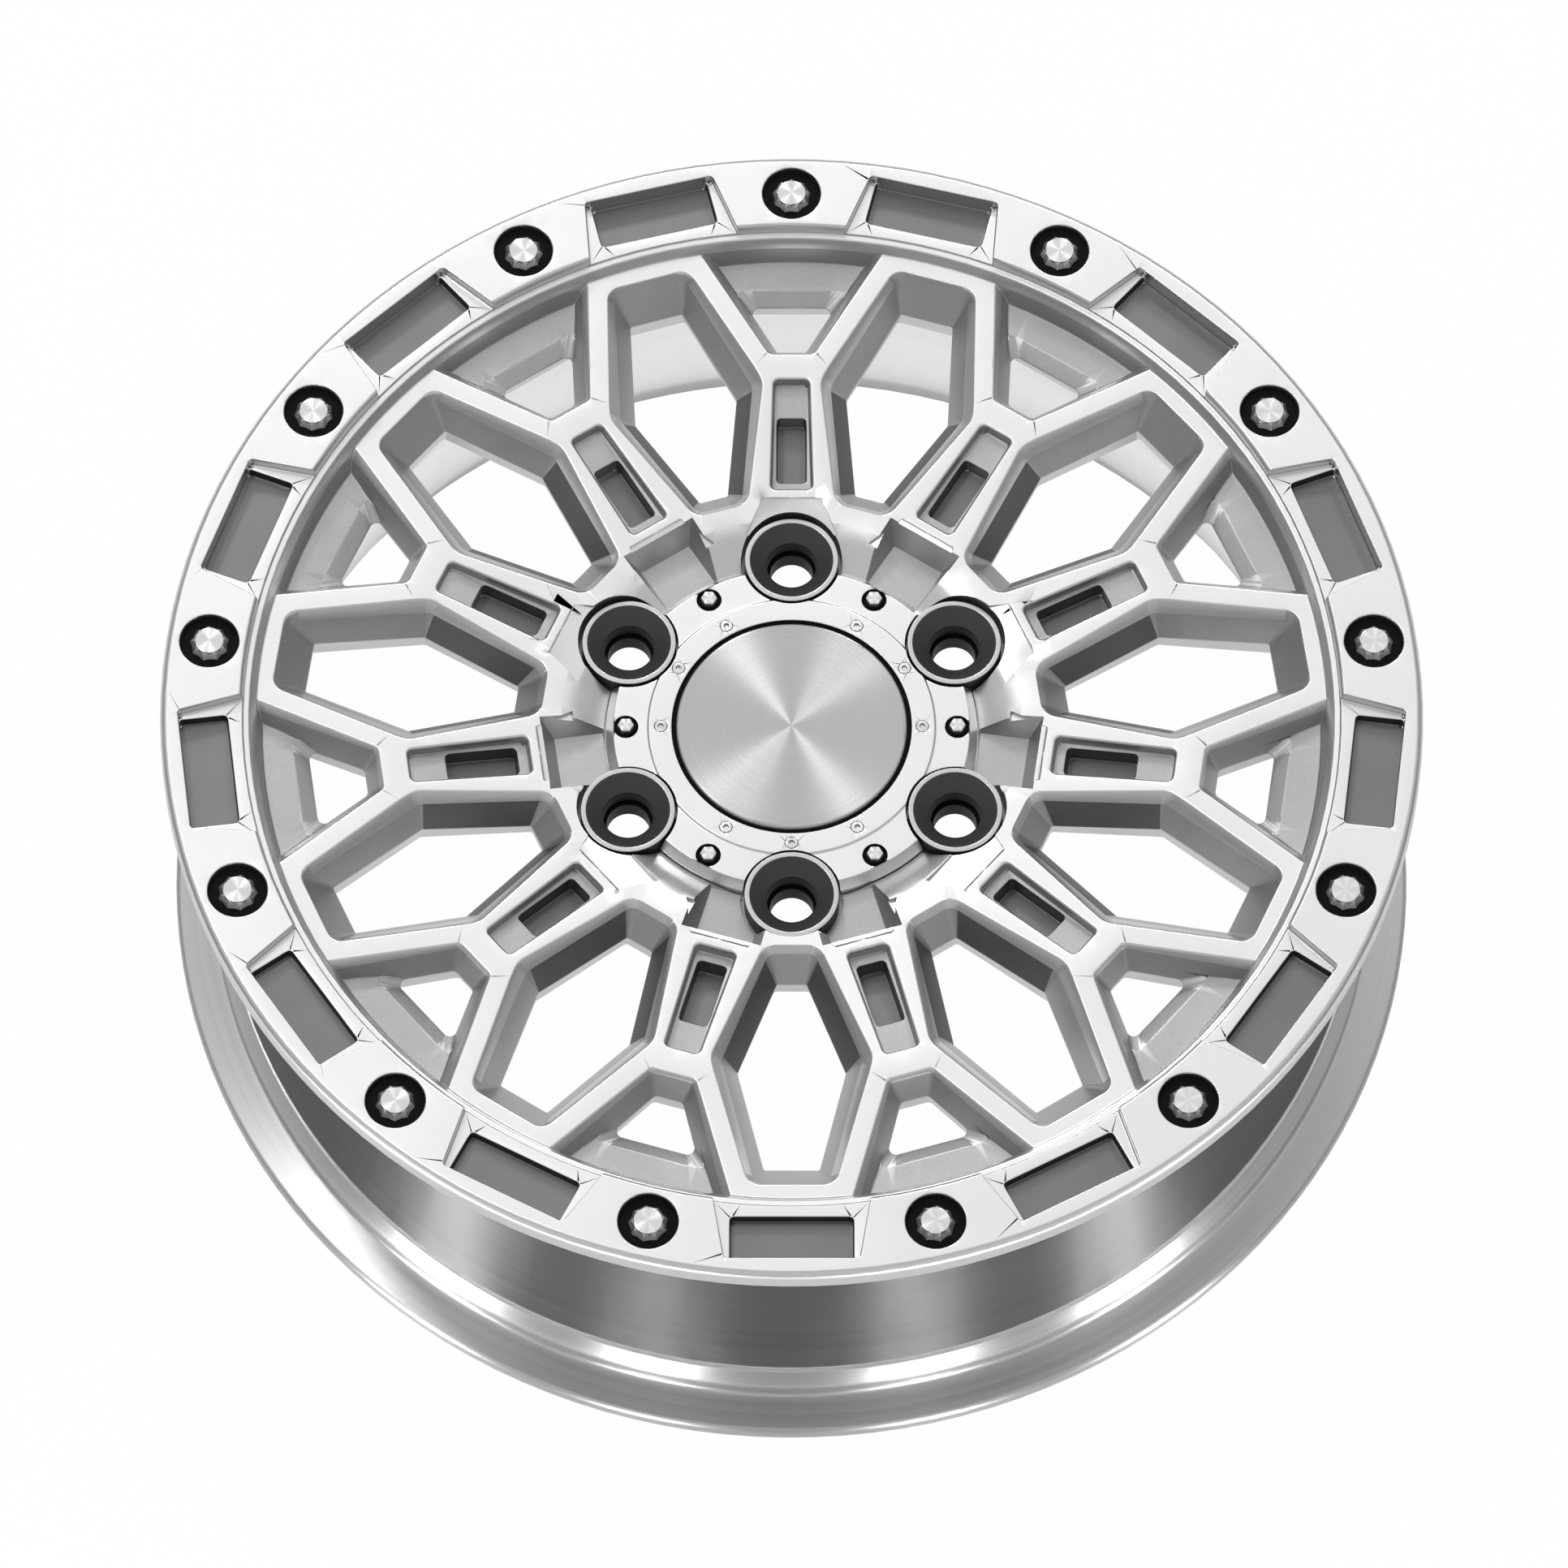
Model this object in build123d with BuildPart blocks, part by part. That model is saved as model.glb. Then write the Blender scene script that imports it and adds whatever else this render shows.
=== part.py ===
from build123d import *
from math import atan2, cos, degrees, hypot, radians, sin, tan
import os

# Forged road wheel, 17 x 5 inch, six lugs on a 139.7 mm circle. All sizes in millimetres.
# The wheel's axis is Z with the face up. The origin is the middle of the hub's mounting face.

# Rim
lip_height = 38.0            # front of the lip above the hub's mounting face
rim_depth = 146.0            # lip front to rear edge
flange_radius = 233.4
bead_seat_radius = 218.3
bead_width = 127.0           # between the flanges
front_flange = 10.0          # thickness of the front flange
well_radius = 203.0          # drop centre
well_front = 42.0            # start of the drop centre, below the lip
well_length = 20.0
cone_end_radius = 215.0      # rear end of the long turned cone
cone_end = 120.0             # below the lip
barrel_wall = 8.5
rear_hump = 1.5              # safety hump above the rear bead seat
rear_hump_place = 9.0        # hump in front of the rear bead face
rear_chamfer = 3.2           # on the rear flange
rear_foot_inset = 2.0        # inside of the rear face, below the bead seat
flange_lean = 2.0            # each bead face leans this far at its foot
groove_depth = 1.3
groove_width = 2.0
groove_step = 0.5            # rear side of the groove above the cone
seat_fall = 2.5              # degrees, front bead seat

# Lip
lip_inner_radius = 203.0
lip_edge_chamfer = 1.8
lip_outer_wall = 9.0         # straight rim, chamfer and all
lip_chamfer = 1.2
lip_wall_depth = 5.0         # upright wall inside the lip
lip_shelf = 2.2              # narrow shelf below that wall

# Spoke faces
spoke_count = 11
arm_drop = 8.5               # arm face below the lip, at its outer end
arm_radius = 198.2           # arm face meets the slope of the lip
crease_radius = 149.0
crease_drop = 9.9
face_inner_radius = 86.0
face_inner_drop = 15.0
web_back = 5.0               # back of the web above the mounting face
web_back_radius = 187.0

# Large windows, in plan, at the foot of their bevel
window_inner_end = 95.0
window_inner_half = 8.5
window_waist = 140.0
window_waist_half = 25.8
window_outer_end = 190.0
window_outer_half = 13.8
window_bevel = 2.5
window_wall_depth = 9.0
window_side_draft = 5.8      # how far each wall leans in over its depth
window_inner_draft = 8.0
window_outer_draft = 9.5
window_back_flare = 5.0      # how far the spoke narrows again behind the walls
window_inner_corner = 4.5
window_waist_corner = 6.0
window_outer_corner = 3.0

# Small windows between the two arms of a spoke
eye_inner_end = 154.5
eye_outer_end = 185.0
eye_bevel = 2.0
eye_wall_depth = 9.0
eye_draft = 4.6
eye_outer_draft = 6.5
eye_corner = 2.5
arm_width = 12.4             # wall to wall
ledge_drop = 16.0            # ledge below the lip, at the rim side
ledge_radius = 196.2
ledge_slope = 0.8

# Slot pockets in the spoke stems
slot_inner_end = 98.0
slot_outer_end = 142.5
slot_inner_width = 15.0
slot_outer_width = 12.6
slot_depth = 4.5
slot_corner = 1.8
slot_well_inner = 102.0
slot_well_outer = 128.5
slot_well_width = 11.0
slot_well_depth = 12.0

# Hub
hub_bore_radius = 50.05
hub_pad_radius = 80.0
hub_pad_rise = 3.0
recess_radius = 69.4         # recess that takes the cover ring
recess_floor = 11.0
recess_edge = 14.5           # rim of the recess
band_radius = 79.5           # line between the two turned bands round the recess
band_height = 20.6
retainer_radius = 55.0
retainer_space = 6.0         # depth of the room for the retainer, below the recess floor
retainer_room = 0.5          # round the retainer
root_radius = 94.0           # stem face ends here, in a flat that falls to the bands
root_half = 11.0
root_flare = 6.0
root_fall = 15.0             # degrees
relief_steps = (-5, -3, -1, 1, 3, 5)   # spokes, counted from the one at the top
relief_outer = 87.5
relief_half = 10.5
relief_floor = 13.0
relief_draft = 24.0          # degrees
cut_top = 4.0                # how far a cutter stands above the face it cuts

# Lug seats
lug_count = 6
lug_circle = 139.7
lug_hole_radius = 8.0
insert_radius = 17.5
insert_top = 20.0
insert_lip = 1.9
insert_body_radius = 12.5
insert_nut_radius = 9.2
insert_cone_depth = 4.6
insert_nut_depth = 7.0
insert_sink = 0.5            # insert above the mounting face
lug_pocket_room = 1.5
notch_room = 0.7

# Cover ring and cap
cover_inner_radius = 44.5
cover_step_radius = 53.0
cover_front = 19.2
cover_step = 0.6
cover_edge_fall = 3.6
cover_edge_width = 2.8
cover_gap = 0.5              # between the cover ring and the wall of its recess
cap_radius = 42.85
cap_front = 20.2
cap_edge = 0.6
cap_flange_radius = 46.4
cap_flange = 2.0
cap_thickness = 6.0
cap_wall = 4.5
gasket_sink = 1.2            # gasket below the cover's front
retainer_bore = 40.0
retainer_thickness = 4.6

# Fasteners
lip_bolt_count = 13
lip_bolt_circle = 434.6
lip_seat_radius = 11.0
lip_seat_depth = 5.0
lip_washer_thickness = 2.4
lip_bolt_head_radius = 7.5
lip_bolt_head_top = 5.4
lip_bolt_head_height = 2.9
lip_bolt_cap = 0.5           # turned top above the lobes
lip_bolt_lobes = 9
lobe_depth = 0.8             # hollow between two lobes
lobe_top = 6.0               # radius of the lobes at their top
lip_bolt_start = 90
lip_bolt_shank_radius = 3.0
lip_bolt_length = 4.0        # shank below the washer seat, in a blind hole
cover_screw_count = 6
cover_screw_circle = 123.0
cover_screw_head_radius = 3.1
cover_screw_head_height = 3.2
cover_screw_shank_radius = 2.0
cover_screw_length = 11.0
cover_washer_radius = 4.5
cover_washer_thickness = 1.2
cover_seat_depth = 2.6
cap_screw_circle = 97.0
cap_screw_angles = (0, 30, 60, 120, 150, 180, 240, 270, 300)
cap_screw_head_radius = 2.3
cap_screw_head_height = 1.6
cap_screw_shank_radius = 1.25
cap_screw_length = 11.0
cap_screw_socket = 1.9       # across the flats
fit = 0.05                   # room round a fitted pin, on the radius
blind_room = 0.8             # blind hole beyond the end of its screw

# Lip pockets, one midway between each two bolts
pocket_outer_radius = 225.5
pocket_outer_half = 24.6
pocket_inner_half = 28.6
pocket_depth = 4.2
pocket_well_width = 18.0     # along the radius
pocket_well_half = 22.4
pocket_well_depth = 8.2
pocket_corner = 1.6

# Valve hole
valve_hole_radius = 5.65
valve_drop = 52.0            # below the lip

# Places that follow from the sizes above
rear = lip_height - rim_depth
front_bead_face = lip_height - front_flange
rear_bead_face = front_bead_face - bead_width
spoke_pitch = 360 / spoke_count
arm_height = lip_height - arm_drop
crease_height = lip_height - crease_drop
face_inner_height = lip_height - face_inner_drop
stem_slope = (crease_height - face_inner_height) / (crease_radius - face_inner_radius)
stem_angle = degrees(atan2(stem_slope, 1))
lug_radius = lug_circle / 2
lug_start = 90 - 180 / lug_count * 2
cover_radius = recess_radius - cover_gap
cover_seat = cover_front - cover_seat_depth
cover_head_base = cover_seat + cover_washer_thickness
cover_screw_end = cover_head_base - cover_screw_length
cap_head_base = cover_front + cover_step - cap_screw_head_height
cap_screw_places = [
    (cap_screw_circle / 2 * cos(radians(turn)), cap_screw_circle / 2 * sin(radians(turn)))
    for turn in cap_screw_angles
]
lip_washer_seat = lip_height - lip_seat_depth
lip_head_base = lip_washer_seat + lip_washer_thickness


def below_lip(drop):
    return lip_height - drop


def face_height(radius):
    """Height of the stem face at a radius inside the crease."""
    return crease_height - stem_slope * (crease_radius - radius)


def stem_plane(radius):
    """Plane on the stem face of the spoke along +Y, its own Y running outwards."""
    return Plane(
        origin=(0, radius, face_height(radius)),
        x_dir=(1, 0, 0),
        z_dir=(0, -sin(radians(stem_angle)), cos(radians(stem_angle))),
    )


def window_outline(side, inner, outer):
    """Six corners of a large window, its sides and ends moved out by these amounts."""
    lower = (window_waist_half - window_inner_half) / (window_waist - window_inner_end)
    upper = (window_outer_half - window_waist_half) / (window_outer_end - window_waist)
    waist_shift = side * (hypot(1, upper) - hypot(1, lower)) / (lower - upper)
    inner_y = window_inner_end - inner
    outer_y = window_outer_end + outer
    inner_x = window_waist_half + (inner_y - window_waist) * lower + side * hypot(1, lower)
    outer_x = window_waist_half + (outer_y - window_waist) * upper + side * hypot(1, upper)
    waist_x = window_waist_half + waist_shift * lower + side * hypot(1, lower)
    waist_y = window_waist + waist_shift
    return [
        (inner_x, inner_y),
        (waist_x, waist_y),
        (outer_x, outer_y),
        (-outer_x, outer_y),
        (-waist_x, waist_y),
        (-inner_x, inner_y),
    ]


def window_corners(growth):
    """Corner radii of a large window whose sides have moved out by this amount."""
    half = [
        max(window_inner_corner + growth, 1),
        max(window_waist_corner + growth, 1),
        max(window_outer_corner + growth, 1),
    ]
    return half + half[::-1]


# Direction of a spoke's arm, from the waist of the large window to its outer corner
half_pitch = radians(spoke_pitch / 2)
waist_polar = hypot(window_waist_half, window_waist)
waist_turn = half_pitch - atan2(window_waist_half, window_waist)
corner_polar = hypot(window_outer_half, window_outer_end)
corner_turn = half_pitch - atan2(window_outer_half, window_outer_end)
arm_dx = corner_polar * sin(corner_turn) - waist_polar * sin(waist_turn)
arm_dy = corner_polar * cos(corner_turn) - waist_polar * cos(waist_turn)
arm_slope = arm_dx / arm_dy


def eye_outline(side, inner, outer_y):
    """Four corners of a small window, moved out by these amounts, ending at outer_y."""
    wall_x = waist_polar * sin(waist_turn) - waist_polar * cos(waist_turn) * arm_slope
    shift = (side - arm_width) * hypot(1, arm_slope)
    inner_y = eye_inner_end - inner
    inner_x = wall_x + inner_y * arm_slope + shift
    outer_x = wall_x + outer_y * arm_slope + shift
    return [(inner_x, inner_y), (outer_x, outer_y), (-outer_x, outer_y), (-inner_x, inner_y)]


os.makedirs("parts", exist_ok=True)

# Large window cutter, on a plane that follows the face from end to end
window_tilt = atan2(
    arm_height - face_height(window_inner_end), arm_radius - window_inner_end
)
window_plane = Plane(
    origin=(0, 0, arm_height - arm_radius * tan(window_tilt)),
    x_dir=(1, 0, 0),
    z_dir=(0, -sin(window_tilt), cos(window_tilt)),
)
window_neck = window_bevel + window_wall_depth
window_bottom = window_neck + arm_height - web_back
window_mouth = window_bevel + cut_top
window_back_side = window_side_draft - window_back_flare
with BuildPart() as window_cutter:
    for level, side, inner, outer in (
        (cut_top, window_mouth, window_mouth, window_mouth),
        (-window_bevel, 0, 0, 0),
        (-window_neck, -window_side_draft, -window_inner_draft, -window_outer_draft),
        (-window_bottom, -window_back_side, -window_inner_draft / 2, -window_outer_draft / 2),
    ):
        with BuildSketch(window_plane.offset(level)):
            with BuildLine():
                FilletPolyline(
                    *window_outline(side, inner, outer), radius=window_corners(side), close=True
                )
            make_face()
    loft(ruled=True)

# Small window cutters: the recess down to the ledge, then the hole through the web
eye_face = (arm_height + crease_height) / 2
eye_foot = eye_face - eye_bevel
eye_neck = eye_foot - eye_wall_depth
ledge_height = below_lip(ledge_drop)
ledge_inner_height = ledge_height - ledge_slope
eye_top = lip_height


def eye_lean(height):
    """How far the walls of a small window have leaned in at a height."""
    return eye_draft * (eye_foot - height) / eye_wall_depth


with BuildPart() as eye_recess_cutter:
    for level, side in (
        (eye_top, eye_top - eye_foot),
        (eye_foot, 0),
        (ledge_inner_height, -eye_lean(ledge_inner_height)),
    ):
        with BuildSketch(Plane.XY.offset(level)):
            with BuildLine():
                FilletPolyline(
                    *eye_outline(side, side, lip_inner_radius),
                    radius=(eye_corner, 0, 0, eye_corner),
                    close=True,
                )
            make_face()
    loft(ruled=True)
    with BuildSketch(Plane.XZ):
        with BuildLine():
            Polyline(
                (crease_radius, eye_top),
                (crease_radius, ledge_inner_height),
                (eye_outer_end, ledge_inner_height),
                (ledge_radius, ledge_height),
                (arm_radius, arm_height),
                (arm_radius, eye_top),
                close=True,
            )
        make_face()
    revolve(axis=Axis.Z, mode=Mode.INTERSECT)

with BuildPart() as eye_hole_cutter:
    hole_top = ledge_height
    for level, side, outer in (
        (hole_top, -eye_lean(hole_top), eye_outer_end + hole_top - ledge_inner_height),
        (eye_neck, -eye_draft, eye_outer_end - eye_outer_draft),
        (0, 0, eye_outer_end),
    ):
        with BuildSketch(Plane.XY.offset(level)):
            with BuildLine():
                FilletPolyline(*eye_outline(side, side, outer), radius=eye_corner, close=True)
            make_face()
    loft(ruled=True)

# Slot pocket cutter, on the stem face
slot_middle = (slot_inner_end + slot_outer_end) / 2
slot_plane = stem_plane(slot_middle)
slot_length = slot_outer_end - slot_inner_end
with BuildPart() as slot_cutter:
    with BuildSketch(slot_plane.offset(-slot_depth)):
        with BuildLine():
            FilletPolyline(
                (slot_inner_width / 2, -slot_length / 2),
                (slot_outer_width / 2, slot_length / 2),
                (-slot_outer_width / 2, slot_length / 2),
                (-slot_inner_width / 2, -slot_length / 2),
                radius=slot_corner,
                close=True,
            )
        make_face()
    extrude(amount=slot_depth + cut_top)
    with BuildSketch(slot_plane.offset(-slot_well_depth)):
        with Locations((0, (slot_well_inner + slot_well_outer) / 2 - slot_middle)):
            RectangleRounded(slot_well_width, slot_well_outer - slot_well_inner, slot_corner)
    extrude(amount=slot_well_depth)

# Flat at each spoke root, falling from the stem face to the bands round the hub
root_plane = Plane(
    origin=(0, root_radius, face_height(root_radius)),
    x_dir=(1, 0, 0),
    z_dir=(0, -sin(radians(root_fall)), cos(radians(root_fall))),
)
root_length = root_radius - band_radius
with BuildPart() as root_cutter:
    with BuildSketch(root_plane):
        with BuildLine():
            Polyline(
                (root_half, 0),
                (-root_half, 0),
                (-root_half - root_flare, -root_length),
                (root_half + root_flare, -root_length),
                close=True,
            )
        make_face()
    extrude(amount=lip_height)

# Relief pockets between the spoke roots and the cover ring
with BuildPart() as relief_cutter:
    with BuildSketch(Plane.XY.offset(relief_floor)):
        with Locations((0, (relief_outer + recess_radius) / 2)):
            Rectangle(2 * relief_half, relief_outer - recess_radius)
    extrude(amount=lip_height - relief_floor, taper=-relief_draft)

# Lip pocket cutter
with BuildPart() as pocket_cutter:
    with BuildSketch(Plane.XY.offset(lip_height)):
        with BuildLine():
            FilletPolyline(
                (pocket_inner_half, lip_inner_radius - lip_shelf),
                (pocket_outer_half, pocket_outer_radius),
                (-pocket_outer_half, pocket_outer_radius),
                (-pocket_inner_half, lip_inner_radius - lip_shelf),
                radius=(0, pocket_corner, pocket_corner, 0),
                close=True,
            )
        make_face()
    extrude(amount=-pocket_depth)
    with BuildSketch(Plane.XY.offset(lip_height)):
        with Locations((0, pocket_outer_radius - pocket_well_width / 2)):
            RectangleRounded(2 * pocket_well_half, pocket_well_width, pocket_corner)
    extrude(amount=-pocket_well_depth)

# The forging: one turned section, then every window, pocket and hole
well_start = below_lip(well_front)
well_end = well_start - well_length
cone_end_height = below_lip(cone_end)
groove_end = cone_end_height - groove_width
front_seat_end = well_start + (bead_seat_radius - well_radius) / 2
front_seat_radius = bead_seat_radius - (front_bead_face - front_seat_end) * tan(radians(seat_fall))
rear_foot = bead_seat_radius - rear_foot_inset
retainer_wall = retainer_radius + retainer_room
profile = [
    # Hub, from the mounting face out along the back of the web
    (hub_bore_radius, 0),
    (hub_pad_radius, 0),
    (hub_pad_radius + hub_pad_rise, web_back),
    (web_back_radius, web_back),
    # Inside of the barrel to the rear edge
    (well_radius - barrel_wall, well_start),
    (well_radius - barrel_wall, well_end),
    (cone_end_radius - barrel_wall, cone_end_height),
    (rear_foot, rear),
    # Rear flange, bead seat, hump and groove
    (flange_radius - rear_chamfer, rear),
    (flange_radius, rear + rear_chamfer),
    (flange_radius, rear_bead_face),
    (bead_seat_radius, rear_bead_face + flange_lean),
    (bead_seat_radius + rear_hump, rear_bead_face + rear_hump_place),
    (cone_end_radius + groove_step, groove_end),
    (cone_end_radius - groove_depth, groove_end),
    (cone_end_radius - groove_depth, cone_end_height),
    (cone_end_radius, cone_end_height),
    # Turned cone, drop centre and front bead seat
    (well_radius, well_end),
    (well_radius, well_start),
    (front_seat_radius, front_seat_end),
    (bead_seat_radius, front_bead_face - flange_lean),
    (flange_radius, lip_height - lip_outer_wall),
    # Lip, its inner wall and shelf
    (flange_radius, lip_height - lip_edge_chamfer),
    (flange_radius - lip_edge_chamfer, lip_height),
    (lip_inner_radius + lip_chamfer, lip_height),
    (lip_inner_radius, lip_height - lip_chamfer),
    (lip_inner_radius, lip_height - lip_wall_depth),
    (lip_inner_radius - lip_shelf, lip_height - lip_wall_depth),
    # Faces of the arms and stems, bands and recess of the hub
    (arm_radius, arm_height),
    (crease_radius, crease_height),
    (face_inner_radius, face_inner_height),
    (band_radius, band_height),
    (recess_radius, recess_edge),
    (recess_radius, recess_floor),
    (retainer_wall, recess_floor),
    (retainer_wall, recess_floor - retainer_space),
    (hub_bore_radius, recess_floor - retainer_space),
]
# Every milled cut at its place round the axis
milled_cuts = [
    turn * cutter.part
    for turn in PolarLocations(0, spoke_count)
    for cutter in (eye_recess_cutter, eye_hole_cutter, slot_cutter, root_cutter)
]
milled_cuts += [
    turn * window_cutter.part
    for turn in PolarLocations(0, spoke_count, start_angle=spoke_pitch / 2)
]
milled_cuts += [
    turn * pocket_cutter.part
    for turn in PolarLocations(0, lip_bolt_count, start_angle=180 / lip_bolt_count)
]
milled_cuts += [Rot(Z=step * spoke_pitch) * relief_cutter.part for step in relief_steps]

with BuildPart() as forged_rim:
    with BuildSketch(Plane.XZ):
        with BuildLine():
            Polyline(*profile, close=True)
        make_face()
    revolve(axis=Axis.Z)
    # Lug pockets, their through holes and the tapped holes of the cover ring
    with Locations(Plane.XY.offset(recess_floor)):
        with PolarLocations(lug_radius, lug_count, start_angle=lug_start):
            Cylinder(
                insert_radius + lug_pocket_room,
                lip_height,
                align=(Align.CENTER, Align.CENTER, Align.MIN),
                mode=Mode.SUBTRACT,
            )
            Hole(insert_body_radius, recess_floor)
        with PolarLocations(cover_screw_circle / 2, cover_screw_count):
            Hole(cover_screw_shank_radius + fit, recess_floor - cover_screw_end + blind_room)
    # Seats and blind holes of the lip bolts
    with Locations(Plane.XY.offset(lip_height)):
        with PolarLocations(lip_bolt_circle / 2, lip_bolt_count, start_angle=lip_bolt_start):
            CounterBoreHole(
                lip_bolt_shank_radius + fit,
                lip_seat_radius,
                lip_seat_depth,
                lip_seat_depth + lip_bolt_length + blind_room,
            )
    # Valve hole through the drop centre
    with Locations(Plane(origin=(0, -well_radius, below_lip(valve_drop)), z_dir=(0, -1, 0))):
        Hole(valve_hole_radius, 2 * barrel_wall)
    add(milled_cuts, mode=Mode.SUBTRACT, clean=False)
forged_rim.part.label = "forged_rim"
export_step(forged_rim.part, "parts/forged_rim.step")



def lobed_outline(tip):
    """Tips and hollows of a lobed bolt head, by turns."""
    return [
        (reach * cos(radians(turn)), reach * sin(radians(turn)))
        for lobe in range(lip_bolt_lobes)
        for reach, turn in (
            (tip, lobe * 360 / lip_bolt_lobes),
            (tip - lobe_depth, (lobe + 0.5) * 360 / lip_bolt_lobes),
        )
    ]


# Lip bolts: a lobed head that leans in to a flat turned top, on a plain shank
with BuildPart() as lip_bolt:
    for level, tip in (
        (lip_head_base, lip_bolt_head_radius),
        (lip_head_base + lip_bolt_head_height - lip_bolt_cap, lobe_top),
    ):
        with BuildSketch(Plane.XY.offset(level)):
            with BuildLine():
                Polyline(*lobed_outline(tip), close=True)
            make_face()
    loft(ruled=True)
    with BuildSketch(Plane.XY.offset(lip_head_base)):
        Circle(lip_bolt_head_top)
    extrude(amount=lip_bolt_head_height)
    with BuildSketch(Plane.XY.offset(lip_head_base)):
        Circle(lip_bolt_shank_radius)
    extrude(amount=-lip_washer_thickness - lip_bolt_length)
with BuildPart() as lip_bolts:
    with PolarLocations(lip_bolt_circle / 2, lip_bolt_count, start_angle=lip_bolt_start):
        add(lip_bolt.part)
lip_bolts.part.label = "lip_bolts"
export_step(lip_bolts.part, "parts/lip_bolts.step")

# Black washers under the lip bolts
with BuildPart() as lip_washers:
    with BuildSketch(Plane.XY.offset(lip_washer_seat)):
        with PolarLocations(lip_bolt_circle / 2, lip_bolt_count, start_angle=lip_bolt_start):
            Circle(lip_seat_radius - fit)
            Circle(lip_bolt_shank_radius + fit, mode=Mode.SUBTRACT)
    extrude(amount=lip_washer_thickness)
lip_washers.part.label = "lip_washers"
export_step(lip_washers.part, "parts/lip_washers.step")

# Lug inserts: a flanged bush with a cone seat for the nut
insert_cone_foot = insert_top - insert_cone_depth
with BuildPart() as lug_insert:
    with BuildSketch(Plane.XZ):
        with BuildLine():
            Polyline(
                (lug_hole_radius, insert_sink),
                (insert_body_radius - fit, insert_sink),
                (insert_body_radius - fit, recess_floor),
                (insert_radius, recess_floor),
                (insert_radius, insert_top),
                (insert_radius - insert_lip, insert_top),
                (insert_nut_radius, insert_cone_foot),
                (insert_nut_radius, insert_cone_foot - insert_nut_depth),
                (lug_hole_radius, insert_cone_foot - insert_nut_depth),
                close=True,
            )
        make_face()
    revolve(axis=Axis.Z)
with BuildPart() as lug_inserts:
    with PolarLocations(lug_radius, lug_count, start_angle=lug_start):
        add(lug_insert.part)
lug_inserts.part.label = "lug_inserts"
export_step(lug_inserts.part, "parts/lug_inserts.step")

# Cover ring: stepped front, an outer edge that falls away, and a notch round each lug insert
with BuildPart() as cover_ring:
    with BuildSketch(Plane.XZ):
        with BuildLine():
            Polyline(
                (cover_inner_radius, recess_floor),
                (cover_radius, recess_floor),
                (cover_radius, cover_front - cover_edge_fall),
                (cover_radius - cover_edge_width, cover_front),
                (cover_step_radius + cover_step, cover_front),
                (cover_step_radius, cover_front + cover_step),
                (cover_inner_radius, cover_front + cover_step),
                close=True,
            )
        make_face()
    revolve(axis=Axis.Z)
    with BuildSketch(Plane.XY.offset(recess_floor)):
        with PolarLocations(lug_radius, lug_count, start_angle=lug_start):
            Circle(insert_radius + notch_room)
    extrude(amount=lip_height, mode=Mode.SUBTRACT)
    with Locations(Plane.XY.offset(cover_front)):
        with PolarLocations(cover_screw_circle / 2, cover_screw_count):
            CounterBoreHole(cover_screw_shank_radius + fit, cover_washer_radius + fit, cover_seat_depth)
    with Locations(Plane.XY.offset(cover_front + cover_step)):
        with Locations(*cap_screw_places):
            CounterBoreHole(
                cap_screw_shank_radius + fit, cap_screw_head_radius + fit, cap_screw_head_height
            )
cover_ring.part.label = "cover_ring"
export_step(cover_ring.part, "parts/cover_ring.step")

# Black washers in the cover ring's screw seats
with BuildPart() as cover_washers:
    with BuildSketch(Plane.XY.offset(cover_seat)):
        with PolarLocations(cover_screw_circle / 2, cover_screw_count):
            Circle(cover_washer_radius)
            Circle(cover_screw_shank_radius + fit, mode=Mode.SUBTRACT)
    extrude(amount=cover_washer_thickness)
cover_washers.part.label = "cover_washers"
export_step(cover_washers.part, "parts/cover_washers.step")

# Hexagon screws of the cover ring
with BuildPart() as cover_screws:
    with BuildSketch(Plane.XY.offset(cover_head_base)):
        with PolarLocations(cover_screw_circle / 2, cover_screw_count):
            RegularPolygon(cover_screw_head_radius, 6)
    extrude(amount=cover_screw_head_height)
    with BuildSketch(Plane.XY.offset(cover_head_base)):
        with PolarLocations(cover_screw_circle / 2, cover_screw_count):
            Circle(cover_screw_shank_radius)
    extrude(amount=-cover_screw_length)
cover_screws.part.label = "cover_screws"
export_step(cover_screws.part, "parts/cover_screws.step")

# Centre cap: a turned dish with a flange that the cover ring holds down
cap_back = recess_floor - cap_flange
with BuildPart() as cap_disc:
    with BuildSketch(Plane.XZ):
        with BuildLine():
            Polyline(
                (0, cap_front - cap_thickness),
                (cap_radius - cap_wall, cap_front - cap_thickness),
                (cap_radius - cap_wall, cap_back),
                (cap_flange_radius, cap_back),
                (cap_flange_radius, recess_floor),
                (cap_radius, recess_floor),
                (cap_radius, cap_front - cap_edge),
                (cap_radius - cap_edge, cap_front),
                (0, cap_front),
                close=True,
            )
        make_face()
    revolve(axis=Axis.Z)
cap_disc.part.label = "cap_disc"
export_step(cap_disc.part, "parts/cap_disc.step")

# Black gasket between the cap and the cover ring
with BuildPart() as cap_gasket:
    with BuildSketch(Plane.XY.offset(recess_floor)):
        Circle(cover_inner_radius - fit)
        Circle(cap_radius + fit, mode=Mode.SUBTRACT)
    extrude(amount=cover_front + cover_step - gasket_sink - recess_floor)
cap_gasket.part.label = "cap_gasket"
export_step(cap_gasket.part, "parts/cap_gasket.step")

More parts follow.
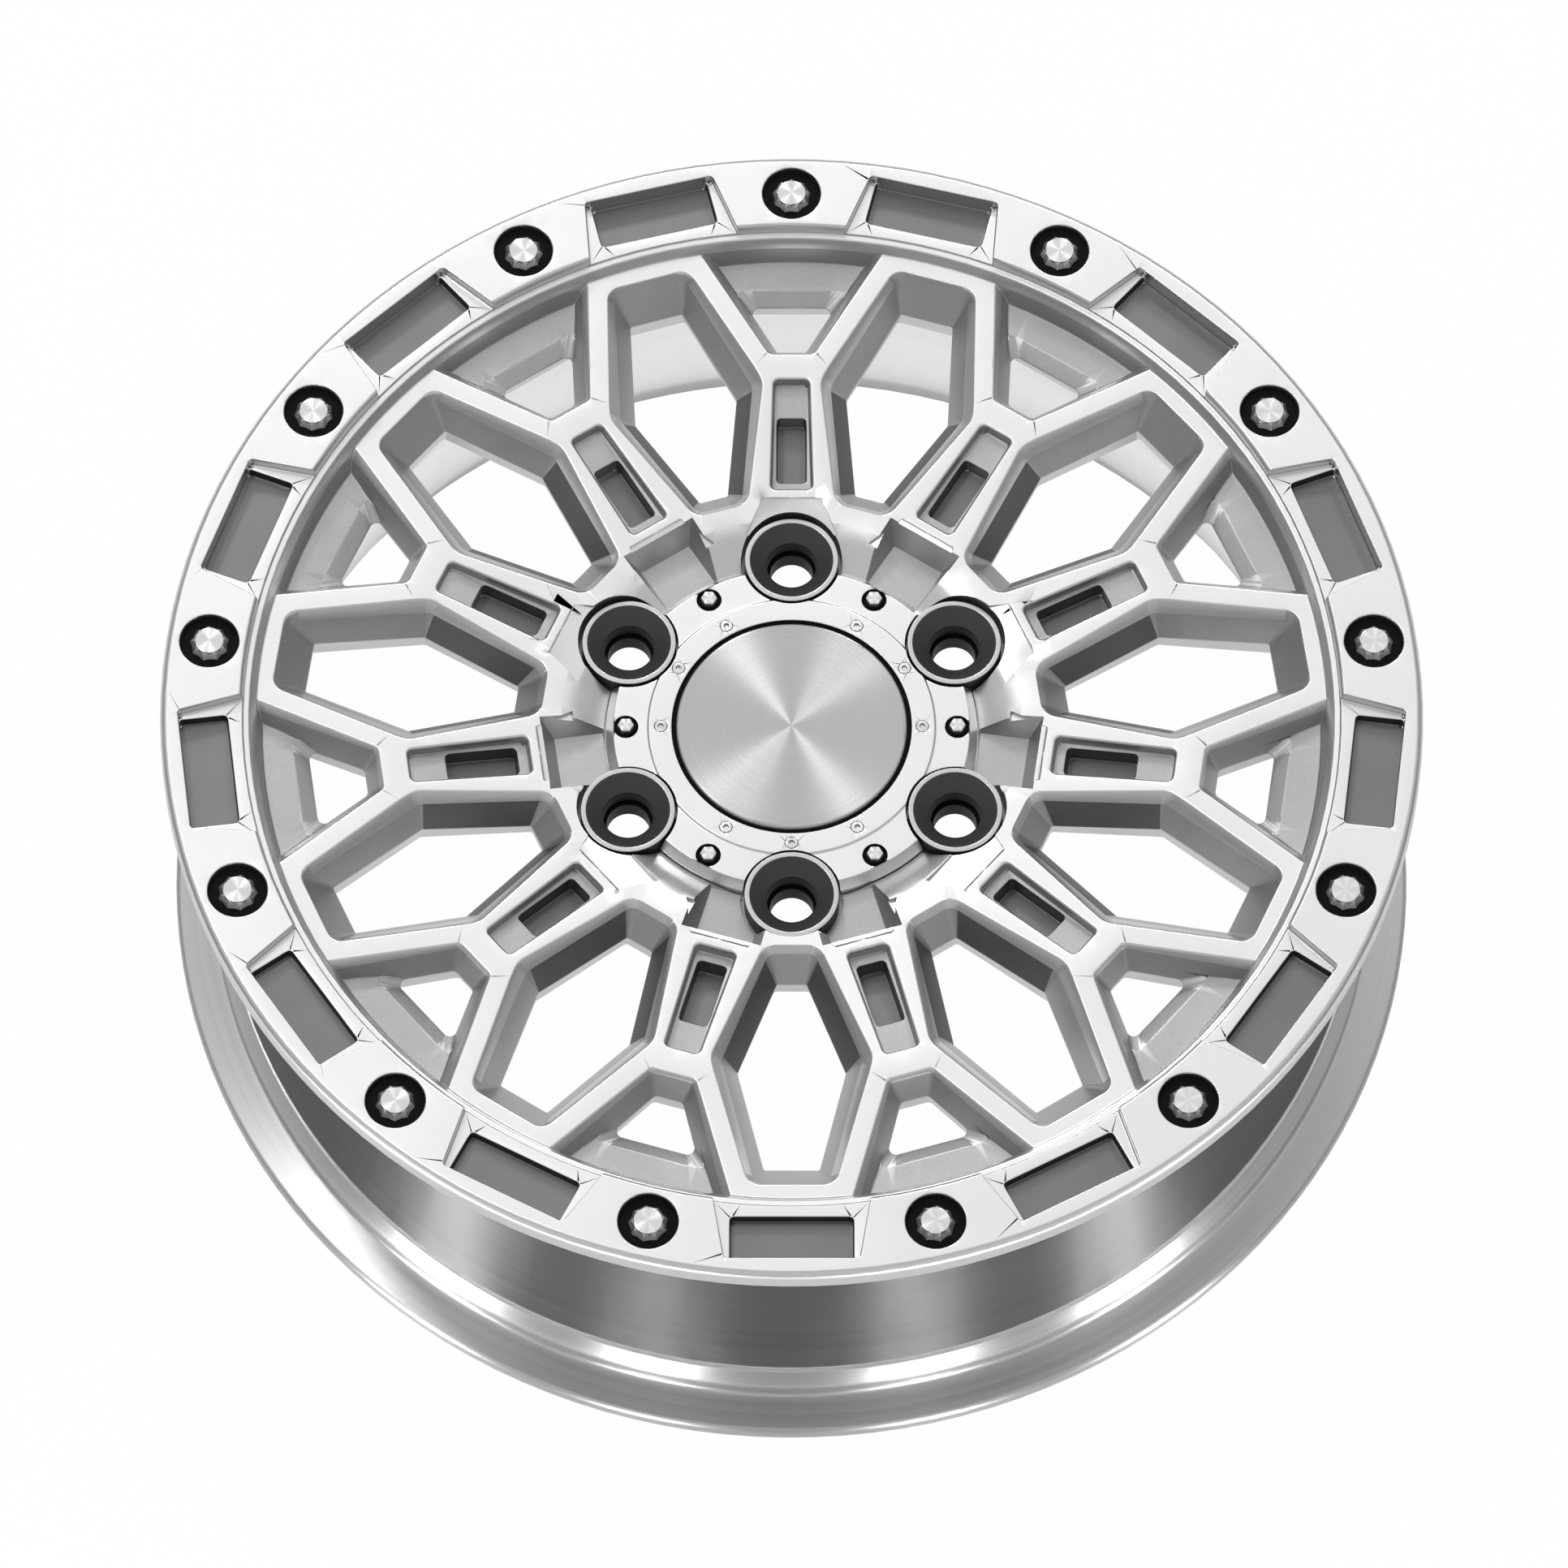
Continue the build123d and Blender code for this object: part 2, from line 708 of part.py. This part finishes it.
# Retainer that clamps the cap's flange to the back of the cover ring
with BuildPart() as cap_retainer:
    with BuildSketch(Plane.XZ):
        with BuildLine():
            Polyline(
                (retainer_bore, recess_floor - retainer_thickness),
                (retainer_radius, recess_floor - retainer_thickness),
                (retainer_radius, recess_floor),
                (cap_flange_radius + fit, recess_floor),
                (cap_flange_radius + fit, cap_back),
                (retainer_bore, cap_back),
                close=True,
            )
        make_face()
    revolve(axis=Axis.Z)
    with Locations(Plane.XY.offset(recess_floor)):
        with Locations(*cap_screw_places):
            Hole(cap_screw_shank_radius + fit, retainer_thickness)
cap_retainer.part.label = "cap_retainer"
export_step(cap_retainer.part, "parts/cap_retainer.step")

# Small socket screws through the cover ring into the retainer
with BuildPart() as cap_screws:
    with BuildSketch(Plane.XY.offset(cap_head_base)):
        with Locations(*cap_screw_places):
            Circle(cap_screw_head_radius)
    extrude(amount=cap_screw_head_height)
    with BuildSketch(Plane.XY.offset(cap_head_base)):
        with Locations(*cap_screw_places):
            Circle(cap_screw_shank_radius)
    extrude(amount=-cap_screw_length)
    with BuildSketch(Plane.XY.offset(cap_head_base + cap_screw_head_height)):
        with Locations(*cap_screw_places):
            RegularPolygon(cap_screw_socket / 2, 6, major_radius=False)
    extrude(amount=-cap_screw_head_height / 2, mode=Mode.SUBTRACT)
cap_screws.part.label = "cap_screws"
export_step(cap_screws.part, "parts/cap_screws.step")
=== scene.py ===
import bpy
import bmesh
import math
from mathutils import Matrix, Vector


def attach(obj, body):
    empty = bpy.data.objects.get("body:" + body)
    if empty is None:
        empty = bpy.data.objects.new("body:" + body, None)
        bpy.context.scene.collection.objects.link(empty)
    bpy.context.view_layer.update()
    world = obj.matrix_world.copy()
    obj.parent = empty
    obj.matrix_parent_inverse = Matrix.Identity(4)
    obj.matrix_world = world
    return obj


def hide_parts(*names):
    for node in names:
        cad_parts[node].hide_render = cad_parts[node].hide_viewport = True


# Forged wheel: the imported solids, dressed for a bright studio picture. Sizes are in metres.

# Camera, as in the photograph
PICTURE_WIDTH = 1932
ELEVATION = math.radians(62.83)
DISTANCE = 4.5
PIXELS_PER_METRE = 3335.3
LIP_PLANE = 0.038
CENTRE_RIGHT = 0.00282
CENTRE_UP = 0.02983
SENSOR = 36.0
VIEW = Vector((0, -math.cos(ELEVATION), math.sin(ELEVATION)))

# Where the finishes, the painted shade and the painted highlight change on the forging
BARREL_TOP = 0.0275
BARREL_RADIUS = 0.199
FLANGE_TOP = -0.085
FLOOR = -0.108
FLOOR_HALF = 15.0
MERGE = 2e-6
FLAT = math.radians(0.5)
WALL_TIP = 0.8
SHARP = 28
HUB_ZONE = 0.0935
HUB_INNER = 0.0700
HUB_FLOOR = 0.0105
HUB_TOP = 0.0140
RING_REACH = 0.00006
RING_SEGMENTS = 4
RIM_ROUND = 0.0005
EDGE_SEGMENTS = 2
# Radius, height and width of round of each turned edge
TURNED_EDGES = (
    (0.2302, -0.108, 0.0019),
    (0.2334, -0.1048, 0.0019),
    (0.2334, -0.099, 0.0019),
    (0.2183, -0.097, 0.0018),
    (0.2198, -0.090, 0.0015),
    (0.2030, -0.024, 0.0030),
    (0.2030, -0.004, 0.0030),
    (0.2183, 0.026, 0.0020),
    (0.2334, 0.029, 0.0010),
    (0.2334, 0.0362, 0.0009),
    (0.2316, 0.038, 0.0009),
)
# Zones of the forging where shade is painted in as darker metal
POCKET_INNER = 0.2070
POCKET_OUTER = 0.2260
POCKET_STEP = 0.0334
STEM_RADIUS = 0.149
STEM_HEIGHT = 0.0281
STEM_SLOPE = 0.081
SLOT_INNER = 0.1015
SLOT_OUTER = 0.1290
SLOT_STEP = 0.0050
SLOT_WELL = 0.0125
LEDGE_HIGH = 0.0030
LEDGE_LOW = 0.0100
WEB_INNER = 0.085
EYE_INNER = 0.148
EYE_OUTER = 0.1872
EYE_TOP = 0.0213
EYE_LEAN = 0.95
SEAT_DROP = 0.0002
SCREW_SEATS = (0.0455, 0.0665)
BORE_DROP = 0.0047
WEB_BACK = 0.0055
WALL_LEAN = 0.62
LEVEL = 0.9
UPRIGHT = 0.3
# Slot mouths, in the frame of a spoke that runs along +Y
SPOKES = 11
SLOT_HALF = 0.0079
SLOT_ENDS = (0.0975, 0.1430)
SLOT_BEVEL = 0.0012
SLOT_CORNER = math.radians(40)
SLOT_REACH = 0.0004
# Studio
OVERHEAD_POWER = 6.8
OVERHEAD_RISE = 66
OVERHEAD_WIDTH = 2.6
OVERHEAD_DEPTH = 2.0
BARREL_LAMP_RISE = -2.2
BARREL_LAMP_WIDTH = 0.16
BARREL_LAMP_HEIGHT = 0.12
# Small lamps below the lip, which the barrel sees and the windows don't
BARREL_LAMPS = (
    ("left_front", -19, 2.2),
    ("right_front", 17.5, 3.0),
    ("left_side", -49, 5.0),
    ("right_side", 48, 4.4),
)
STAR_LAMPS = (
    ("star_left", 123, 8.0),
    ("star_right", 62, 4.0),
    ("star_low", 222, 5.0),
)
STAR_TIP = 14
STAR_SIZE = 0.25
WHITE_SHARE = 0.985
FLOOR_IN_METAL = 0.25
LIT_RADIUS = 0.205
# Turned finishes: highlights run across the lines, a quarter turn, and the lines drift slowly round
ACROSS = 0.25
LINE_DRIFT = 2.0
SKY_STOPS = ((0.0, 0.10), (0.2, 0.16), (0.42, 0.5), (0.75, 0.6), (1.0, 0.5))

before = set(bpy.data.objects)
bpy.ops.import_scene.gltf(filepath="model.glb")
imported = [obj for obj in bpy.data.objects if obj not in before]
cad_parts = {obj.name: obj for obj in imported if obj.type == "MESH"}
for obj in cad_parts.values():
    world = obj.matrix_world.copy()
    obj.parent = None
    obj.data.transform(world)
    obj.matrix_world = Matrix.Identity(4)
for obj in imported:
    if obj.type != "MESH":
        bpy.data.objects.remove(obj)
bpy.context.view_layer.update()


class Term:
    """A shader output that can be added, multiplied and compared."""

    def __init__(self, finish, socket):
        self.finish = finish
        self.socket = socket

    def math(self, operation, first, second=0.0):
        return self.finish.node("ShaderNodeMath", {"operation": operation}, {0: first, 1: second})

    def __add__(self, other):
        return self.math("ADD", self, other)

    __radd__ = __add__

    def __mul__(self, other):
        return self.math("MULTIPLY", self, other)

    __rmul__ = __mul__

    def __rsub__(self, other):
        return self.math("SUBTRACT", other, self)

    def __pow__(self, other):
        return self.math("POWER", self, other)

    def above(self, other):
        return self.math("GREATER_THAN", self, other)


class Finish:
    """A material or a sky, and the one way its nodes are made."""

    def __init__(self, owner, output):
        owner.use_nodes = True
        self.owner = owner
        self.tree = owner.node_tree
        self.tree.nodes.clear()
        self.out = self.tree.nodes.new(output)

    def node(self, kind, settings=None, sockets=None, output=0):
        made = self.tree.nodes.new(kind)
        for name, value in (settings or {}).items():
            if name == "stops":
                ramp = made.color_ramp
                while len(ramp.elements) < len(value):
                    ramp.elements.new(1.0)
                for element, (place, grey) in zip(ramp.elements, value):
                    element.position = place
                    element.color = (grey, grey, grey, 1.0)
            else:
                setattr(made, name, value)
        for key, value in (sockets or {}).items():
            if isinstance(value, Term):
                self.tree.links.new(value.socket, made.inputs[key])
            else:
                made.inputs[key].default_value = value
        return Term(self, made.outputs[output])

    def place(self):
        return self.node("ShaderNodeTexCoord", output="Object")

    def apart(self, vector):
        split = self.node("ShaderNodeSeparateXYZ", None, {0: vector}).socket.node
        return [Term(self, socket) for socket in split.outputs]

    def noise(self, vector, scale, detail=2.0, rough=0.5):
        return self.node(
            "ShaderNodeTexNoise",
            None,
            {"Vector": vector, "Scale": scale, "Detail": detail, "Roughness": rough},
        )

    def grey(self, value, tint=(1.0, 1.0, 1.0)):
        """A colour whose brightness follows a value."""
        shade = self.node("ShaderNodeCombineColor", None, {0: value, 1: value, 2: value})
        return self.node(
            "ShaderNodeMix",
            {"data_type": "RGBA", "blend_type": "MULTIPLY"},
            {0: 1.0, 6: shade, 7: (*tint, 1.0)},
            output=2,
        )

    def bump(self, height, strength, depth):
        return self.node(
            "ShaderNodeBump", None, {"Height": height, "Strength": strength, "Distance": depth}
        )

    def show(self, shader):
        self.tree.links.new(shader.socket, self.out.inputs["Surface"])
        return self.owner

    def surface(self, **sockets):
        names = {
            name.replace("_", " ").title().replace("Ior", "IOR"): value
            for name, value in sockets.items()
        }
        return self.show(self.node("ShaderNodeBsdfPrincipled", None, names))


def new_finish(name):
    return Finish(bpy.data.materials.new(name), "ShaderNodeOutputMaterial")


def turned(finish, radial, axial, fine):
    """Fine lines that run round the wheel's axis, from radius and height."""
    x, y, z = finish.apart(finish.place())
    radius = (x * x + y * y) ** 0.5
    drift = x * LINE_DRIFT + y * LINE_DRIFT
    across = finish.node(
        "ShaderNodeCombineXYZ", None, {0: radius * radial, 1: z * axial, 2: drift}
    )
    return finish.noise(across, fine, 3.0, 0.6)


def satin_alloy():
    finish = new_finish("satin_alloy")
    place = finish.place()
    grain = finish.noise(place, 1400.0, 2.0)
    cloud = finish.noise(place, 22.0, 3.0)
    return finish.surface(
        base_color=finish.grey(0.74 + 0.08 * cloud, (0.985, 0.99, 1.0)),
        metallic=1.0,
        roughness=0.26 + 0.10 * grain,
        normal=finish.bump(grain, 0.05, 0.0003),
    )


def painted_shade_alloy(name, shade, rough):
    """Darker copy of the forging's alloy, painted shade for the window walls and the deep pockets,
    with its milling grain.
    """
    finish = new_finish(name)
    place = finish.place()
    grain = finish.noise(place, 900.0, 3.0)
    cloud = finish.noise(place, 30.0, 3.0)
    return finish.surface(
        base_color=finish.grey(shade * (0.75 + 0.3 * cloud + 0.2 * grain), (0.98, 0.99, 1.0)),
        metallic=1.0,
        roughness=rough + 0.12 * grain,
        normal=finish.bump(grain, 0.08, 0.0003),
    )


def turned_barrel(name, shade, rough, stretch):
    finish = new_finish(name)
    lines = turned(finish, 900.0, 900.0, 1.0)
    broad = turned(finish, 60.0, 60.0, 1.0)
    return finish.surface(
        base_color=finish.grey(shade * (0.7 + 0.4 * lines + 0.2 * broad), (0.98, 0.99, 1.0)),
        metallic=1.0,
        roughness=rough + 0.12 * lines,
        anisotropic=stretch,
        anisotropic_rotation=ACROSS,
        normal=finish.bump(lines, 0.12, 0.0002),
    )


def turned_cap():
    finish = new_finish("turned_cap")
    lines = turned(finish, 1800.0, 100.0, 1.0)
    broad = turned(finish, 160.0, 10.0, 1.0)
    return finish.surface(
        base_color=finish.grey(0.42 + 0.12 * lines + 0.06 * broad),
        metallic=1.0,
        roughness=0.22 + 0.12 * lines,
        anisotropic=0.9,
        anisotropic_rotation=ACROSS,
        normal=finish.bump(lines, 0.10, 0.0002),
    )


def bright_steel():
    finish = new_finish("bright_steel")
    grain = finish.noise(finish.place(), 2200.0)
    return finish.surface(
        base_color=finish.grey(0.62 + 0.14 * grain),
        metallic=1.0,
        roughness=0.22 + 0.12 * grain,
        anisotropic=0.8,
        anisotropic_rotation=ACROSS,
    )


def insert_steel(name, shade, rough):
    finish = new_finish(name)
    lines = finish.noise(finish.place(), 1600.0)
    return finish.surface(
        base_color=finish.grey(shade * (0.85 + 0.3 * lines)),
        metallic=1.0,
        roughness=rough + 0.14 * lines,
    )


def black_rubber():
    finish = new_finish("black_rubber")
    grain = finish.noise(finish.place(), 900.0, 4.0)
    return finish.surface(
        base_color=finish.grey(0.002 + 0.003 * grain),
        roughness=0.62 + 0.2 * grain,
        specular_ior_level=0.12,
        normal=finish.bump(grain, 0.2, 0.0003),
    )


SATIN = satin_alloy()
# The barrel's turned alloy is darkened as painted shade, and the rear flange's copy of the same
# alloy is made brighter as a painted highlight
BARREL_PAINTED_SHADE = turned_barrel("turned_barrel", 0.20, 0.44, 0.95)
FLANGE_PAINTED_HIGHLIGHT = turned_barrel("turned_flange_painted_highlight", 0.62, 0.26, 0.8)
CAP = turned_cap()
STEEL = bright_steel()
INSERT = insert_steel("insert_rim", 0.55, 0.24)
# The lug inserts' seat and bore are darker copies of the insert steel, painted shade, near black in
# the bore
SEAT_PAINTED_SHADE = insert_steel("insert_seat_painted_shade", 0.10, 0.45)
BORE_PAINTED_SHADE = insert_steel("insert_bore_painted_shade", 0.010, 0.5)
RUBBER = black_rubber()
COVER = SATIN
# Painted shade: darker copies of the forging's alloy on window walls, on ledges and hub floors, on
# pocket floors and slot wells, and darkest on pocket walls and screw sockets
WALL_PAINTED_SHADE = painted_shade_alloy("painted_shade_wall", 0.54, 0.34)
LEDGE_PAINTED_SHADE = painted_shade_alloy("painted_shade_ledge", 0.42, 0.34)
RECESS_PAINTED_SHADE = painted_shade_alloy("painted_shade_recess", 0.20, 0.40)
DEEP_PAINTED_SHADE = painted_shade_alloy("painted_shade_deep", 0.09, 0.45)
RIM_FINISHES_AND_PAINTED_LIGHT = (SATIN, BARREL_PAINTED_SHADE, WALL_PAINTED_SHADE, RECESS_PAINTED_SHADE, LEDGE_PAINTED_SHADE, DEEP_PAINTED_SHADE, FLANGE_PAINTED_HIGHLIGHT)


def merged_shell(node):
    """A solid's mesh with its loose triangles joined."""
    shell = bmesh.new()
    shell.from_mesh(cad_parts[node].data)
    bmesh.ops.remove_doubles(shell, verts=shell.verts, dist=MERGE)
    bmesh.ops.dissolve_degenerate(shell, edges=shell.edges, dist=MERGE)
    bmesh.ops.recalc_face_normals(shell, faces=shell.faces)
    walls = [
        edge
        for edge in shell.edges
        if len(edge.link_faces) == 2 and all(abs(f.normal.z) < WALL_TIP for f in edge.link_faces)
    ]
    bmesh.ops.dissolve_limit(shell, angle_limit=FLAT, verts=[], edges=walls, delimit=set())
    for face in shell.faces:
        face.smooth = True
    return shell


def stand_in(shell, name, node):
    """The piece that is shown in place of a solid."""
    mesh = bpy.data.meshes.new(name)
    shell.to_mesh(mesh)
    shell.free()
    piece = bpy.data.objects.new(name, mesh)
    bpy.context.scene.collection.objects.link(piece)
    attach(piece, "root")
    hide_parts(node)
    return piece


def weigh_edges(shell, angle):
    """Marks the sharp edges for rounding; the crowded ones at the hub stay sharp."""
    weight = shell.edges.layers.float.new("bevel_weight_edge")
    for edge in shell.edges:
        if len(edge.link_faces) == 2 and edge.calc_face_angle() > math.radians(angle):
            if min(math.hypot(end.co.x, end.co.y) for end in edge.verts) > HUB_ZONE:
                edge[weight] = 1.0
            else:
                edge.smooth = False


def soften(piece, width, limit="ANGLE"):
    """Small rounds on the sharp edges, with the flats left flat."""
    rounds = piece.modifiers.new("edge_rounds", "BEVEL")
    rounds.width = width
    rounds.segments = EDGE_SEGMENTS
    rounds.limit_method = limit
    rounds.angle_limit = math.radians(SHARP)
    rounds.use_clamp_overlap = False
    flats = piece.modifiers.new("flat_shading", "WEIGHTED_NORMAL")
    flats.weight = 100
    flats.keep_sharp = True


def round_ring(shell, radius, height, width):
    """Rounds one turned edge of the forging, given by its radius and height."""
    ring = [
        edge
        for edge in shell.edges
        if all(
            abs(math.hypot(end.co.x, end.co.y) - radius) < RING_REACH
            and abs(end.co.z - height) < RING_REACH
            for end in edge.verts
        )
    ]
    bmesh.ops.bevel(
        shell,
        geom=ring,
        offset=width,
        segments=RING_SEGMENTS,
        profile=0.5,
        affect="EDGES",
        material=-1,
    )


def stem_face(reach):
    """Height of a spoke's stem face at a distance from the axis."""
    return STEM_HEIGHT + STEM_SLOPE * (reach - STEM_RADIUS)


def slot_mouth(edge):
    """Whether an edge is on the mouth of a slot in a spoke."""
    if len(edge.link_faces) != 2 or edge.calc_face_angle() < SLOT_CORNER:
        return False
    pitch = 2 * math.pi / SPOKES
    for end in edge.verts:
        turn = math.atan2(end.co.x, end.co.y)
        turn -= round(turn / pitch) * pitch
        reach = math.hypot(end.co.x, end.co.y)
        along = reach * math.cos(turn)
        aside = abs(reach * math.sin(turn))
        if aside > SLOT_HALF or not SLOT_ENDS[0] < along < SLOT_ENDS[1]:
            return False
        if abs(end.co.z - stem_face(reach)) > SLOT_REACH:
            return False
    return True


def rim_finish_and_painted_light(middle, normal):
    """Finish of one face of the forging, by where it lies and how it leans: darker copies of the
    alloy are painted shade on the barrel, walls, ledges and recesses, and a brighter copy is a
    painted highlight on the rear flange.
    """
    reach = math.hypot(middle.x, middle.y)
    outward = normal.x * middle.x + normal.y * middle.y
    depth = stem_face(reach) - middle.z
    level = normal.z > LEVEL
    at_hub = HUB_INNER < reach < HUB_ZONE and middle.z > HUB_FLOOR
    if middle.z < BARREL_TOP and reach > BARREL_RADIUS and outward > 0:
        return BARREL_PAINTED_SHADE if middle.z > FLANGE_TOP else FLANGE_PAINTED_HIGHLIGHT
    if POCKET_INNER < reach < POCKET_OUTER and BARREL_TOP < middle.z < POCKET_STEP:
        return RECESS_PAINTED_SHADE if level else DEEP_PAINTED_SHADE
    if at_hub and normal.z < WALL_LEAN:
        return WALL_PAINTED_SHADE
    if at_hub and level and middle.z < HUB_TOP:
        return LEDGE_PAINTED_SHADE
    if SLOT_INNER < reach < SLOT_OUTER and SLOT_STEP < depth < SLOT_WELL:
        return RECESS_PAINTED_SHADE
    if SLOT_ENDS[0] < reach < BARREL_RADIUS and LEDGE_HIGH < depth < LEDGE_LOW:
        return LEDGE_PAINTED_SHADE if level else WALL_PAINTED_SHADE
    if WEB_INNER < reach < BARREL_RADIUS and middle.z > WEB_BACK and abs(normal.z) < WALL_LEAN:
        return WALL_PAINTED_SHADE
    if EYE_INNER < reach < EYE_OUTER and WEB_BACK < middle.z < EYE_TOP and 0 < normal.z < EYE_LEAN:
        return WALL_PAINTED_SHADE
    return SATIN


def one_solid(node, index):
    """One of a node's separate solids, counted round the axis."""
    shell = merged_shell(node)
    islands = []
    left = set(shell.verts)
    while left:
        reached = [left.pop()]
        island = set(reached)
        while reached:
            for edge in reached.pop().link_edges:
                for end in edge.verts:
                    if end in left:
                        left.discard(end)
                        island.add(end)
                        reached.append(end)
        islands.append(island)

    def turn(island):
        x = sum(vert.co.x for vert in island)
        y = sum(vert.co.y for vert in island)
        return math.atan2(y, x)

    islands.sort(key=turn)
    others = [vert for place, island in enumerate(islands) if place != index for vert in island]
    bmesh.ops.delete(shell, geom=others, context="VERTS")
    return shell


# The forging, with its turned edges rounded
forging = merged_shell("forged_rim")
for radius, height, width in TURNED_EDGES:
    round_ring(forging, radius, height, width)
bmesh.ops.bevel(
    forging,
    geom=[edge for edge in forging.edges if slot_mouth(edge)],
    offset=SLOT_BEVEL,
    segments=EDGE_SEGMENTS,
    profile=0.5,
    affect="EDGES",
    material=-1,
)
for face in forging.faces:
    face.smooth = True
weigh_edges(forging, SHARP)
rim = stand_in(forging, "rim_forging", "forged_rim")
for finish in RIM_FINISHES_AND_PAINTED_LIGHT:
    rim.data.materials.append(finish)
# Each face gets its finish, with painted shade or painted highlight where its zone calls for it
for face in rim.data.polygons:
    face.material_index = RIM_FINISHES_AND_PAINTED_LIGHT.index(rim_finish_and_painted_light(face.center, face.normal))
soften(rim, RIM_ROUND, "WEIGHT")

# Fasteners and inserts, each a piece of its own so that its turning marks run round its own axis
for node, count, material, slot, width in (
    ("lip_bolts", 13, STEEL, "bright_steel", 0.00025),
    ("lug_inserts", 6, INSERT, "insert_steel", 0.0003),
    ("cover_screws", 6, STEEL, "bright_steel", 0.0004),
):
    for index in range(count):
        piece = stand_in(one_solid(node, index), f"{node}_{index + 1:02d}", node)
        piece.data.materials.append(material)
        # Faces below each insert's top ring get painted shade: dark grey on the seat, near black
        # down the bore
        if node == "lug_inserts":
            piece.data.materials.append(SEAT_PAINTED_SHADE)
            piece.data.materials.append(BORE_PAINTED_SHADE)
            top = max(vert.co.z for vert in piece.data.vertices)
            for face in piece.data.polygons:
                if face.center.z < top - BORE_DROP:
                    face.material_index = 2
                elif face.center.z < top - SEAT_DROP:
                    face.material_index = 1
        soften(piece, width)

# Pieces that stay as they were built, with softened edges
for node, material, slot, width in (
    ("lip_washers", RUBBER, "black_rubber", 0.0003),
    ("cover_ring", COVER, "cover_alloy", 0.0003),
    ("cover_washers", RUBBER, "black_rubber", 0.0002),
    ("cap_disc", CAP, "turned_alloy", 0.0003),
    ("cap_gasket", RUBBER, "black_rubber", 0.0002),
    ("cap_retainer", COVER, "cover_alloy", 0.0003),
    ("cap_screws", STEEL, "bright_steel", 0.00015),
):
    piece = stand_in(merged_shell(node), f"{node}_soft", node)
    piece.data.materials.append(material)
    # Steep faces of the cover ring and of the cap screws, in the ring of the screw seats, get the
    # darkest painted shade
    if node in ("cover_ring", "cap_screws"):
        piece.data.materials.append(DEEP_PAINTED_SHADE)
        for face in piece.data.polygons:
            reach = math.hypot(face.center.x, face.center.y)
            if SCREW_SEATS[0] < reach < SCREW_SEATS[1] and face.normal.z < UPRIGHT:
                face.material_index = 1
    soften(piece, width)

# Floor that reads as white paper and still takes a little of the wheel's shadow
floor_shape = bmesh.new()
bmesh.ops.create_grid(floor_shape, x_segments=1, y_segments=1, size=FLOOR_HALF)
bmesh.ops.translate(floor_shape, verts=floor_shape.verts, vec=(0, 0, FLOOR))
floor_mesh = bpy.data.meshes.new("floor")
floor_shape.to_mesh(floor_mesh)
floor_shape.free()
floor = bpy.data.objects.new("floor", floor_mesh)
bpy.context.scene.collection.objects.link(floor)
paper = new_finish("white_paper")
path = paper.node("ShaderNodeLightPath").socket.node
seen = Term(paper, path.outputs["Is Camera Ray"])
mirrored = Term(paper, path.outputs["Is Glossy Ray"])
through = Term(paper, path.outputs["Is Transmission Ray"])
plain = paper.node("ShaderNodeBsdfDiffuse", None, {"Color": (0.8, 0.8, 0.8, 1.0)})
glow = paper.node("ShaderNodeEmission", None, {"Color": (1.0, 1.0, 1.0, 1.0), "Strength": 1.0})
across, along, _ = paper.apart(paper.place())
outside = (across * across + along * along).above(LIT_RADIUS ** 2)
in_metal = mirrored * (1.0 - outside * (1.0 - FLOOR_IN_METAL))
white = (seen + in_metal + through) * WHITE_SHARE
floor_mesh.materials.append(
    paper.show(paper.node("ShaderNodeMixShader", None, {0: white, 1: plain, 2: glow}))
)

# Studio sky: bright above, dim at the horizon
sky = Finish(bpy.data.worlds.new("studio"), "ShaderNodeOutputWorld")
bpy.context.scene.world = sky.owner
height = sky.apart(sky.node("ShaderNodeTexCoord", output="Generated"))[2]
lift = sky.node("ShaderNodeValToRGB", {"stops": SKY_STOPS}, {0: height})
sky.show(sky.node("ShaderNodeBackground", None, {"Color": lift, "Strength": 1.0}))


def lamp(name, towards, distance, width, height, power):
    """A flat lamp that faces the hub from a direction."""
    light = bpy.data.lights.new(name, "AREA")
    light.shape = "RECTANGLE"
    light.size = width
    light.size_y = height
    light.energy = power
    holder = bpy.data.objects.new(name, light)
    holder.location = towards * distance
    holder.rotation_euler = towards.to_track_quat("Z", "Y").to_euler()
    bpy.context.scene.collection.objects.link(holder)


def around(azimuth, elevation):
    """A direction by its angles, azimuth 0 being the viewer's side."""
    turn = math.radians(azimuth)
    rise = math.radians(elevation)
    return Vector(
        (math.sin(turn) * math.cos(rise), -math.cos(turn) * math.cos(rise), math.sin(rise))
    )


def mirrored_by(turn, tip):
    """Where a lamp stands to shine to the viewer off a flat face tipped a little one way."""
    side = math.radians(turn)
    lean = math.radians(tip)
    normal = Vector(
        (math.sin(lean) * math.cos(side), math.sin(lean) * math.sin(side), math.cos(lean))
    )
    return 2 * VIEW.dot(normal) * normal - VIEW


lamp("overhead", around(180, OVERHEAD_RISE), 2.2, OVERHEAD_WIDTH, OVERHEAD_DEPTH, OVERHEAD_POWER)
for name, azimuth, power in BARREL_LAMPS:
    lamp(name, around(azimuth, BARREL_LAMP_RISE), 1.1, BARREL_LAMP_WIDTH, BARREL_LAMP_HEIGHT, power)
for name, turn, power in STAR_LAMPS:
    lamp(name, mirrored_by(turn, STAR_TIP), 2.4, STAR_SIZE, STAR_SIZE, power)

# Camera
up = Vector((0, math.sin(ELEVATION), math.cos(ELEVATION)))
right = Vector((1, 0, 0))
aim = Vector((0, 0, LIP_PLANE)) - right * CENTRE_RIGHT - up * CENTRE_UP
camera_data = bpy.data.cameras.new("camera")
camera_data.sensor_width = SENSOR
camera_data.lens = PIXELS_PER_METRE * DISTANCE * SENSOR / PICTURE_WIDTH
camera_data.clip_end = 100.0
camera = bpy.data.objects.new("camera", camera_data)
camera.location = aim + VIEW * DISTANCE
camera.rotation_euler = VIEW.to_track_quat("Z", "Y").to_euler()
bpy.context.scene.collection.objects.link(camera)
bpy.context.scene.camera = camera
bpy.context.scene.view_settings.view_transform = "Standard"
